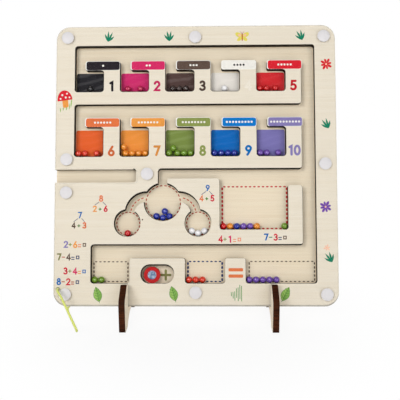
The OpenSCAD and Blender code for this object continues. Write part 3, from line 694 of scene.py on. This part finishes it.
# Figures in a box one unit high: lists of (line, closed)
FIGURES = {
    "0": [(ring(0.31, 0.5, 0.24, 0.43), True)],
    "1": [([(0.17, 0.82), (0.36, 0.92), (0.36, 0.07)], False)],
    "2": [(arc(0.31, 0.69, 0.23, 0.24, 165, -38) + [(0.1, 0.07), (0.56, 0.07)], False)],
    "3": [(arc(0.29, 0.72, 0.2, 0.21, 150, -82) + arc(0.29, 0.29, 0.24, 0.22, 82, -150), False)],
    "4": [([(0.44, 0.07), (0.44, 0.93), (0.06, 0.32)], False), ([(0.06, 0.32), (0.58, 0.32)], False)],
    "5": [([(0.53, 0.93), (0.18, 0.93), (0.14, 0.54)] + arc(0.29, 0.33, 0.25, 0.26, 118, -145), False)],
    "6": [(ring(0.31, 0.3, 0.23, 0.23), True), ([(0.42, 0.93), (0.24, 0.65), (0.11, 0.4)], False)],
    "7": [([(0.07, 0.93), (0.55, 0.93), (0.25, 0.07)], False)],
    "8": [(ring(0.31, 0.73, 0.18, 0.2), True), (ring(0.31, 0.29, 0.23, 0.22), True)],
    "9": [(ring(0.31, 0.7, 0.23, 0.23), True), ([(0.2, 0.07), (0.38, 0.35), (0.51, 0.6)], False)],
    "+": [([(0.08, 0.45), (0.54, 0.45)], False), ([(0.31, 0.22), (0.31, 0.68)], False)],
    "-": [([(0.08, 0.45), (0.54, 0.45)], False)],
    "=": [([(0.08, 0.65), (0.54, 0.65)], False), ([(0.08, 0.27), (0.54, 0.27)], False)],
    "#": [([(0.1, 0.2), (0.56, 0.2), (0.56, 0.7), (0.1, 0.7)], True)],
}
face = Prints("face_prints", FACE_Z)
floor = Prints("floor_prints", BACK_T)


def figure(sign, u, v, height, material, weight):
    """A figure or sign on the face, from the lower left of its box. Its line's weight is a share of its height."""
    for line, closed in FIGURES[sign]:
        face.stroke([(u + x * height, v + y * height) for x, y in line], weight * height, material, closed)


PRINT_INKS = {
    "teal": rgb(24, 128, 96),
    "leaf": rgb(152, 191, 100),
    "sprout": rgb(133, 178, 88),
    "grass": rgb(92, 154, 88),
    "rib": rgb(80, 130, 56),
    "lemon": rgb(228, 214, 96),
    "peach": rgb(246, 196, 166),
    "umber": rgb(84, 60, 46),
    # Burnt black, which also paints the shadow under the overhangs and round the painted fields
    "char_and_shadow": rgb(9, 6, 4),
    # Grey-brown for the painted shade along the board's lower edge
    "edge_shade": rgb(190, 184, 172),
    "clay": rgb(224, 122, 76),
    "blush": rgb(236, 150, 116),
    # Near white, for the painted highlight round the labels
    "pale": rgb(255, 251, 244),
    "mist": rgb(238, 230, 215),
    "rust": rgb(176, 62, 40),
    "ember": rgb(204, 86, 54),
    "crimson": rgb(192, 36, 40),
    "cherry": rgb(206, 30, 58),
    "sea": rgb(10, 102, 176),
    "slate": rgb(50, 62, 106),
    "sand": rgb(92, 76, 62),
    "olive": rgb(128, 128, 76),
    "violet": rgb(116, 72, 168),
}
INK = {name: ink(name, colour) for name, colour in {**INKS, **PRINT_INKS}.items()}
STAIN = {name: stain(name, colour) for name, colour in STAINS.items()}
# The numbers are darker than the labels, but for three
NUMBER_SHADE = 0.8
NUMBER_INK = {"white": INK["mist"], "green": INK["green"], "purple": INK["purple"]}
for name, colour in INKS.items():
    if name not in NUMBER_INK:
        NUMBER_INK[name] = ink("number_" + name, scaled(colour, NUMBER_SHADE))

# Pockets: painted floors, labels on the tabs with as many dots as the number, and the numbers
POCKET_X, POCKET_PITCH, POCKET_W, POCKET_ENTRY = 20.3, 48.8, 30.8, 11.3
# Colours, lower edge of the pockets, upper edge of their paint, lower and upper edge of the tabs
ROWS = [
    (["black", "pink", "brown", "white", "red"], 228.9, 250.8, 252.1, 262.3),
    (["orange", "yellow", "green", "blue", "purple"], 158.8, 188.2, 190.2, 200.4),
]
PAINT_GAP, PAINT_R = 0.15, 2.0
LABEL_EDGES, LABEL_R = {"left": 1.0, "right": 0.6, "top": 0.45, "bottom": 0.4}, 2.2
# The pale rim, a painted highlight on the tab's edge: its width beside the label, and its gaps to the tab's upper and
# lower edge
RIM, RIM_R = {"left": 1.0, "right": 0.4, "top": 0.1, "bottom": 0.15}, 2.4
DOT_R, DOT_PITCH, DOT_SIDES = 1.15, 3.3, 14
NUMBER_U, NUMBER_FOOT = [60.1, 108.9, 157.8, 206.6, 255.0], 0.5
NUMBER_H, NUMBER_STEP = 10.6, 0.62
NUMBER_WEIGHT, ONE_WEIGHT = 0.23, 0.24
number = 0
for names, low, painted, shelf, tab in ROWS:
    for column, name in enumerate(names):
        number += 1
        u = POCKET_X + column * POCKET_PITCH
        paint = rounded_box(u + PAINT_GAP, low + PAINT_GAP, u + POCKET_W - PAINT_GAP, painted, PAINT_R)
        floor.fill(paint, STAIN[name])
        left, right = u + POCKET_ENTRY + LABEL_EDGES["left"], u + POCKET_PITCH - LABEL_EDGES["right"]
        bottom, top = shelf + LABEL_EDGES["bottom"], tab - LABEL_EDGES["top"]
        # A pale rim round the label: a painted highlight on the tab's edge
        rim = rounded_box(left - RIM["left"], shelf + RIM["bottom"], right + RIM["right"], tab - RIM["top"], RIM_R)
        face.fill(rim, INK["pale"])
        face.fill(rounded_box(left, bottom, right, top, LABEL_R), INK[name], layer=1)
        dots = INK["black"] if name == "white" else INK["white"]
        for k in range(number):
            along = (left + right) / 2 + (k - (number - 1) / 2) * DOT_PITCH
            face.disc(along, (shelf + tab) / 2, DOT_R, dots, DOT_SIDES, layer=2)
        signs = str(number)
        for k, sign in enumerate(signs):
            start = NUMBER_U[column] + NUMBER_H * (NUMBER_STEP * (k - len(signs) / 2))
            weight = ONE_WEIGHT if sign == "1" else NUMBER_WEIGHT
            figure(sign, start, low + NUMBER_FOOT, NUMBER_H, NUMBER_INK[name], weight)


DASH_STEPS = 3


def dashes(line, length, gap, width, material):
    """Dashes along a line of points on the floor."""
    points = [Vector(p) for p in line]
    steps = [(b - a).length for a, b in zip(points, points[1:])]
    total = sum(steps)
    count = max(1, round(total / (length + gap)))
    pitch = total / count

    def place(s):
        """The place after a length s of the line."""
        for a, b, d in zip(points, points[1:], steps):
            if s <= d:
                return a.lerp(b, s / d)
            s -= d
        return points[-1]

    for k in range(count):
        begin = (k + 0.5) * pitch - length / 2
        dash = [tuple(place(begin + length * j / DASH_STEPS)) for j in range(DASH_STEPS + 1)]
        floor.stroke(dash, width, material)


# Dashed boxes in the trays: edges, ink, width of the level dashes and of the upright ones
TRAYS = [
    (178.6, 81.6, 247.6, 126.4, "crimson", 1.45, 2.0),
    (41.2, 25.4, 77.6, 46.4, "umber", 1.15, 1.4),
    (141.8, 25.4, 178.2, 46.6, "slate", 1.35, 1.9),
    (207.0, 25.4, 276.2, 46.6, "sand", 1.15, 1.4),
]
TRAY_DASH, TRAY_GAP = 1.3, 3.3
for u0, v0, u1, v1, name, level, upright in TRAYS:
    box = [(u0, v0), (u0, v1), (u1, v1), (u1, v0)]
    for k, edge in enumerate(zip(box, box[1:] + box[:1])):
        dashes(edge, TRAY_DASH, TRAY_GAP, level if k % 2 else upright, INK[name])

# Dashed rings in the bowl and its cups, and dashed arcs in its arms: length, gap and width of their dashes
BOWL_U, BOWL_V, BOWL_R = 115.2, 109.4, 18.5
CUP_OUT, CUP_DROP, CUP_R = 37.5, 22.4, 12.4
ARM_OUT, ARM_DROP, ARM_R = 17.2, 12.4, 18.0
BOWL_DASH, CUP_DASH = (1.7, 2.9, 1.15), (1.5, 2.7, 1.15)
dashes(arc(BOWL_U, BOWL_V, BOWL_R, BOWL_R, 90, 450, 60), *BOWL_DASH, INK["rust"])
for side, start, end in ((-1, 100, 170), (1, 80, 10)):
    cup_u, cup_v = BOWL_U + side * CUP_OUT, BOWL_V - CUP_DROP
    dashes(arc(cup_u, cup_v, CUP_R, CUP_R, 90, 450, 48), *CUP_DASH, INK["rust"])
    arm_u, arm_v = BOWL_U + side * ARM_OUT, BOWL_V - ARM_DROP
    dashes(arc(arm_u, arm_v, ARM_R, ARM_R, start, end, 20), *BOWL_DASH, INK["ember"])
# A single dot between the bowl and its left cup
face.disc(93.8, 91.1, 0.8, INK["umber"], 10)

# Signs by the trays: plus and minus under the selector, and the equals sign
SIGN_V, SIGN_W = 32.3, 2.6
for line in (
    [(113.4, SIGN_V), (122.8, SIGN_V)],
    [(118.1, 27.6), (118.1, 37.0)],
    [(96.6, SIGN_V), (104.6, SIGN_V)],
):
    floor.stroke(line, SIGN_W, INK["olive"])
BAR_LEFT, BAR_RIGHT, BAR_HALF, BAR_R = 184.7, 200.1, 1.7, 1.2
for v in (38.2, 31.6):
    face.fill(rounded_box(BAR_LEFT, v - BAR_HALF, BAR_RIGHT, v + BAR_HALF, BAR_R), INK["clay"])

# Sums in many inks, up and down a little along the line
SUM_H, SUM_STEP, SUM_WEIGHT = 7.0, 5.0, 0.21
SIGN_SIZE, SIGN_WEIGHT = 0.82, 0.165
SWAY, SWAY_STEP = 0.7, 1.7
SUMS = [
    ("2+6=#", 10.4, 61.6, ["purple", "green", "yellow", "orange", "umber"]),
    ("7-4=#", 3.4, 48.4, ["olive", "rust", "brown", "slate", "slate"]),
    ("3+4=#", 10.4, 33.6, ["cherry", "green", "pink", "yellow", "sea"]),
    ("8-2=#", 3.4, 22.4, ["sea", "rust", "cherry", "rust", "slate"]),
    ("4+1=#", 174.4, 67.0, ["cherry", "green", "pink", "blush", "blush"]),
    ("7-3=#", 222.4, 69.0, ["sea", "teal", "cherry", "slate", "umber"]),
]
for signs, u, v, inks in SUMS:
    for k, (sign, name) in enumerate(zip(signs, inks)):
        size, weight = (SUM_H * SIGN_SIZE, SIGN_WEIGHT) if sign in "+-=#" else (SUM_H, SUM_WEIGHT)
        figure(sign, u + SUM_STEP * k, v + SWAY * math.sin(k * SWAY_STEP), size, INK[name], weight)

# Number trees: the whole, its left part, the plus and its right part, each with place, height and weight
TREE_FIGURES = [(6.6, 10.8, 6.6, 0.2), (0, 0, 6.4, 0.2), (6.0, 0.4, 5.2, 0.19), (11.6, 0, 6.4, 0.22)]
TREE_BRANCHES, BRANCH_W = [((6.6, 10.4), (2.2, 7.2)), ((10.6, 10.4), (13.6, 7.2))], 0.55
TREES = [
    ("82+6", 41.0, 99.6, ["orange", "yellow", "rib", "cherry"]),
    ("74+3", 18.6, 82.0, ["sea", "umber", "rib", "orange"]),
    ("94+5", 154.4, 110.4, ["sea", "orange", "rib", "cherry"]),
]
for signs, u, v, inks in TREES:
    for sign, name, (x, y, height, weight) in zip(signs, inks, TREE_FIGURES):
        figure(sign, u + x, v + y, height, INK[name], weight)
    for branch in TREE_BRANCHES:
        face.stroke([(u + x, v + y) for x, y in branch], BRANCH_W, INK["slate"])

# Ornaments round the frame
BLADE = [(0, 0), (0.3, 0.36), (0.62, 0.44), (1, 0), (0.62, -0.44), (0.3, -0.36)]
TUFT_BLADES, TUFT_W = [(-36, 9.0), (-12, 11.6), (11, 11.8), (35, 9.4)], 2.4
# Petals: angle of the first one, then its middle, half length and slimness, and the two reaches in turn
PETAL_START, PETAL_AT, PETAL_L, PETAL_SQUEEZE = 14, 0.62, 0.38, 0.52
PETAL_SHORT, PETAL_MORE, PETAL_SIDES = 0.9, 0.14, 14
MIDDLE, HEART, HEART_SIDES = 0.33, 0.17, 12
LEAF_L, LEAF_W, LEAF_STEPS, LEAF_RIBS = 16.5, 9.0, 14, 4
# How full the leaf is near its foot, and how far its halves stay inside the dark rim
LEAF_FULL, HALF_L, HALF_W = 0.85, 0.94, 0.9
STALK_W, RIB_W = 0.5, 0.4


def blade(u, v, length, width, angle, material):
    """A pointed leaf or blade of grass from its foot."""
    face.fill(turned([(x * length, y * width) for x, y in BLADE], u, v, angle), material)


def tuft(u, v, tilt):
    """Four blades from one foot."""
    for angle, length in TUFT_BLADES:
        blade(u, v, length, TUFT_W, 90 + tilt + angle, INK["teal"])


def flower(u, v, petals, reach, material, heart):
    """Petals, every other one longer, round a heart."""
    for k in range(petals):
        angle = 360 * k / petals + PETAL_START
        petal = reach * (PETAL_SHORT + PETAL_MORE * (k % 2))
        middle = turned([(petal * PETAL_AT, 0)], u, v, angle)[0]
        face.disc(*middle, petal * PETAL_L, material, PETAL_SIDES, PETAL_SQUEEZE, angle)
    face.disc(u, v, reach * MIDDLE, material, PETAL_SIDES)
    face.disc(u, v, reach * HEART, heart, HEART_SIDES, layer=1)


def leaf(u, v, tilt):
    """A leaf about its middle: a dark rim, two halves in two greens, and the ribs."""
    steps = [k / LEAF_STEPS for k in range(LEAF_STEPS + 1)]
    side = [(LEAF_L * (t - 0.5), LEAF_W / 2 * math.sin(math.pi * t**LEAF_FULL)) for t in steps]
    face.fill(turned(side + [(x, -y) for x, y in side[-2:0:-1]], u, v, tilt), INK["rib"])
    for over, name in ((1, "leaf"), (-1, "sprout")):
        half = [(x * HALF_L, over * y * HALF_W) for x, y in side]
        face.fill(turned(half, u, v, tilt), INK[name], layer=1)
    face.stroke(turned([(-LEAF_L * 0.56, 0), (LEAF_L * 0.42, 0)], u, v, tilt), STALK_W, INK["rib"], layer=2)
    for k in range(LEAF_RIBS):
        x = LEAF_L * (0.17 * k - 0.32)
        for y in (LEAF_W * 0.3, -LEAF_W * 0.3):
            face.stroke(turned([(x, 0), (x + LEAF_L * 0.12, y)], u, v, tilt), RIB_W, INK["rib"], layer=2)


for place in ((55.6, 283.6, -14), (122, 283.6, 2), (265.0, 283.8, 20), (291.8, 187.8, 26), (293.4, 46.0, 27)):
    tuft(*place)
for place in ((46.7, 12.6, 104), (126.8, 13.4, 106), (244.4, 13.0, 62)):
    leaf(*place)
flower(290.2, 257.4, 8, 6.4, INK["red"], INK["peach"])
flower(287.4, 104.3, 8, 6.4, INK["violet"], INK["peach"])
flower(288.2, 61.2, 6, 3.6, INK["peach"], INK["peach"])

# Butterfly: the wings with their spots, the body and the feelers
WINGS_U, WINGS_V, WING_SQUEEZE = 200.6, 288.0, 0.6
for x, y, reach, tilt, name, layer in (
    (-3.8, 2.0, 4.0, 150, "lemon", 0), (3.8, 2.0, 4.0, 30, "lemon", 0),
    (-2.9, -2.5, 3.0, 215, "lemon", 0), (2.9, -2.5, 3.0, -35, "lemon", 0),
    (-2.9, 1.5, 1.9, 150, "peach", 1), (2.9, 1.5, 1.9, 30, "peach", 1),
):
    face.disc(WINGS_U + x, WINGS_V + y, reach, INK[name], 16, WING_SQUEEZE, tilt, layer)
BODY_W, FEELER_W = 1.1, 0.4
head = (WINGS_U, WINGS_V + 3)
face.stroke([(WINGS_U, WINGS_V - 4), head], BODY_W, INK["rust"], layer=2)
for side in (-1, 1):
    face.stroke([head, (WINGS_U + side * 1.8, WINGS_V + 5.6)], FEELER_W, INK["rust"])

# Mushroom: stem and dotted cap, which lean together, and grass at the foot
CAP_U, CAP_V, CAP_TIP = 9.8, 219.6, 8
MUSHROOM = (CAP_U, CAP_V, CAP_TIP)
STEM_HALF, STEM_LOW, STEM_TOP, STEM_R = 3.1, -8.0, 1.4, 2.0
CAP_HALF, CAP_H, CAP_STEPS = 8.1, 11.0, 24
face.fill(turned(rounded_box(-STEM_HALF, STEM_LOW, STEM_HALF, STEM_TOP, STEM_R), *MUSHROOM), INK["yellow"])
face.fill(turned(arc(0, 0, CAP_HALF, CAP_H, 0, 180, CAP_STEPS), *MUSHROOM), INK["red"], layer=1)
for x, y, r in ((-4.6, 2.4, 1.0), (-2.2, 6.2, 1.1), (1.2, 3.0, 1.15), (3.0, 7.0, 0.95), (5.2, 2.6, 0.9)):
    face.disc(*turned([(x, y)], *MUSHROOM)[0], r, INK["white"], 12, layer=2)
for x, foot, height, lean in (
    (-4.6, -13.2, 5.6, -6), (-2.0, -11.4, 4.2, 4), (1.4, -11.0, 4.6, 8), (4.6, -10.4, 8.4, 6), (6.4, -8.2, 11.5, 5),
):
    blade(CAP_U + x, CAP_V + foot, height, 1.3, 90 - lean, INK["leaf"])

# A clump of grass under the trays: foot and height of its blades, which spread a little upward
CLUMP = [(11.0, 3.4), (8.6, 6.2), (6.4, 9.0), (9.2, 9.4), (5.8, 13.6), (8.0, 14.2), (5.6, 15.6)]
FOOT_U, FOOT_PITCH, TIP_U, TIP_PITCH, CLUMP_W = 187.8, 1.75, 187.5, 1.8, 0.75
for k, (foot, height) in enumerate(CLUMP):
    tip = (TIP_U + TIP_PITCH * k, foot + height)
    face.stroke([(FOOT_U + FOOT_PITCH * k, foot), tip], CLUMP_W, INK["grass"])

# Char and painted shadow along the overhanging edges of the cut-outs, beside walls that face right and all round
# the painted fields, where the panel's face ends, and a line of painted shade on the board's lower edge
FRONT_FACING = 0.9
CHAR_SHADOW_LOW, CHAR_SHADOW_HIGH, CHAR_SHADOW_IN = 24.5, 290.0, 1
# Widths of the char and painted shadow: on the lowest and highest overhangs, round the painted fields, beside
# right-facing walls, and the least one drawn
OVERHANG_LOW, OVERHANG_HIGH, FIELD_W, SIDE_W, LEAST_W = 1.35, 0.3, 0.5, 0.3, 0.1
OVERHANG_FROM, OVERHANG_RUN = 120, 80
FIELD_SLACK, FIELD_TOP = 0.3, 1.0
# Painted shade on the board's lower edge: the height under which an edge gets it, and its width
EDGE_SHADE_TOP, EDGE_SHADE_W = 15.0, 1.7


def overhang_width(v):
    """Wide on the lower edges, where the strip is painted shadow under the overhang as well as char, and a hair's
    breadth on the upper ones, whose burnt walls show by themselves.
    """
    upward = min(1.0, max(0.0, (v - OVERHANG_FROM) / OVERHANG_RUN))
    return OVERHANG_LOW + (OVERHANG_HIGH - OVERHANG_LOW) * upward


def in_field(u, v):
    """Whether a place lies on the edge of a painted field."""
    beside = (u - POCKET_X + FIELD_SLACK) % POCKET_PITCH < POCKET_W + 2 * FIELD_SLACK
    return any(low - FIELD_SLACK < v < painted + FIELD_TOP and beside for _, low, painted, _, _ in ROWS)


panel = NODES["maze_panel"].data
panel_spots = []
for vertex in panel.vertices:
    place = vertex.co / MM - CORNER
    panel_spots.append((round(place.x, 3), round(place.dot(UP), 3), round(place.dot(OUT), 2)))
fronts, walls = {}, {}
for polygon in panel.polygons:
    sides = fronts if polygon.normal.dot(OUT) > FRONT_FACING else walls
    for key in polygon.edge_keys:
        edge = tuple(sorted(panel_spots[i] for i in key))
        sides.setdefault(edge, []).append(polygon.normal.copy())
for edge in sorted(fronts):
    if len(fronts[edge]) > 1 or edge not in walls:
        continue
    normal = walls[edge][0]
    spots = [(u, v) for u, v, _ in edge]
    down = -normal.dot(UP)
    # A strip of painted shade along the board's lower edge
    if all(v < EDGE_SHADE_TOP for _, v in spots):
        width, tone = EDGE_SHADE_W * down, INK["edge_shade"]
    # Char with painted shadow: under overhangs, beside right-facing walls and round the painted fields
    elif all(CHAR_SHADOW_LOW < v < CHAR_SHADOW_HIGH and CHAR_SHADOW_IN < u < BOARD - CHAR_SHADOW_IN for u, v in spots):
        field = FIELD_W if all(in_field(u, v) for u, v in spots) else 0.0
        width, tone = max(overhang_width(spots[0][1]) * down, SIDE_W * normal.x, field), INK["char_and_shadow"]
    else:
        continue
    if width > LEAST_W:
        back_u, back_v = -normal.x * width, down * width
        face.fill(spots + [(u + back_u, v + back_v) for u, v in reversed(spots)], tone)
face.finish()
floor.finish()

# Floor: white to the eye, but for a soft shadow round the part
GROUND_REACH, GROUND_Z = 4.0, -0.0002
SHADOW = {"From Min": 0.08, "From Max": 0.24, "To Min": 0.9, "To Max": 1.0}
ground_look = Look("studio_floor", Roughness=0.9, Base_Color=(0.86, 0.86, 0.86, 1.0))
ground_rays = ground_look.add("LightPath").outputs
ground_seen = ground_look.math("MAXIMUM", ground_rays["Is Camera Ray"], ground_rays["Is Transmission Ray"])
glow = ground_look.add("Emission", {"Color": (1, 1, 1, 1), "Strength": 1.0})
away = ground_look.add("VectorMath", {0: ground_look.coords.outputs["Object"]}, operation="LENGTH").outputs["Value"]
white = ground_look.add("MapRange", {"Value": away, **SHADOW}, interpolation_type="SMOOTHSTEP").outputs[0]
surface = ground_look.add("MixShader", {0: ground_look.math("MULTIPLY", ground_seen, white)})
ground_look.put(surface.inputs[1], ground_look.shader.outputs[0])
ground_look.put(surface.inputs[2], glow.outputs[0])
ground_look.put(ground_look.tree.nodes["Material Output"].inputs["Surface"], surface.outputs[0])
ground_corners = [(x * GROUND_REACH, y * GROUND_REACH, GROUND_Z) for x, y in ((-1, -1), (1, -1), (1, 1), (-1, 1))]
ground = piece("studio_ground", ground_corners, [(0, 1, 2, 3)], [ground_look.material])

# Backdrop: white to the eye, and dimmer as light
SKY_LIGHT, SKY_SEEN = 0.38, 1.0
world = bpy.data.worlds.new("studio")
bpy.context.scene.world = world
world.use_nodes = True
sky_nodes, sky_links = world.node_tree.nodes, world.node_tree.links
sky = sky_nodes["Background"]
sky.inputs["Color"].default_value = (1, 1, 1, 1)
sky_rays = sky_nodes.new("ShaderNodeLightPath").outputs
sky_seen = sky_nodes.new("ShaderNodeMath")
sky_seen.operation = "MAXIMUM"
strength = sky_nodes.new("ShaderNodeMapRange")
strength.inputs["To Min"].default_value = SKY_LIGHT
strength.inputs["To Max"].default_value = SKY_SEEN
sky_links.new(sky_rays["Is Camera Ray"], sky_seen.inputs[0])
sky_links.new(sky_rays["Is Transmission Ray"], sky_seen.inputs[1])
sky_links.new(sky_seen.outputs[0], strength.inputs["Value"])
sky_links.new(strength.outputs[0], sky.inputs["Strength"])

# Lamps, all turned to the middle of the part
LAMP_TARGET = Vector((0, 0, 0.15))


def lamp(name, place, size, watts):
    """A square lamp."""
    data = bpy.data.lights.new(name, "AREA")
    data.shape = "SQUARE"
    data.size = size
    data.energy = watts
    obj = bpy.data.objects.new(name, data)
    obj.location = place
    obj.rotation_euler = (LAMP_TARGET - Vector(place)).to_track_quat("-Z", "Y").to_euler()
    bpy.context.scene.collection.objects.link(obj)


lamp("key", (-0.6, -1.15, 0.72), 0.6, 8.4)
lamp("fill", (0.65, -1.2, 0.36), 0.9, 5.5)
lamp("rear", (0.2, 1.1, 1.0), 0.9, 8.0)

bpy.context.scene.view_settings.view_transform = "Standard"
